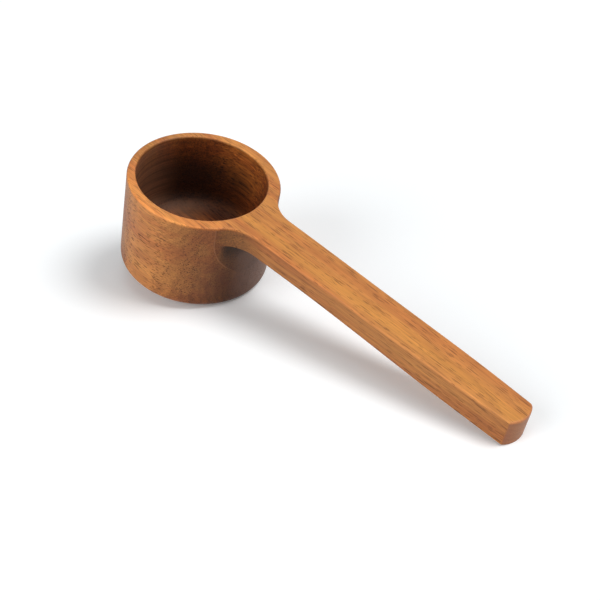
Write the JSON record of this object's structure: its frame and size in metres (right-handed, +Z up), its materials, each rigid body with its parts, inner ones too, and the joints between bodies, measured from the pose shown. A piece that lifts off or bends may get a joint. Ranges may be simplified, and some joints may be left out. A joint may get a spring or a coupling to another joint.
{
  "type": "measuring scoop",
  "caption": "Wooden measuring scoop carved from one block: a deep round cup with a long slim handle flush with its rim.",
  "frame": {"origin": "centre of the bottom of the bounding box, on the table that the scoop rests on", "axes": "+Z up, +X from the cup towards the handle's tip, +Y to the left of the handle"},
  "size_m": [0.166, 0.0522, 0.0454],
  "materials": {
    "wood": "oiled satin hardwood with a straight grain along the handle"
  },
  "bodies": {
    "root": {"scoop": "wood"}
  },
  "joints": []
}
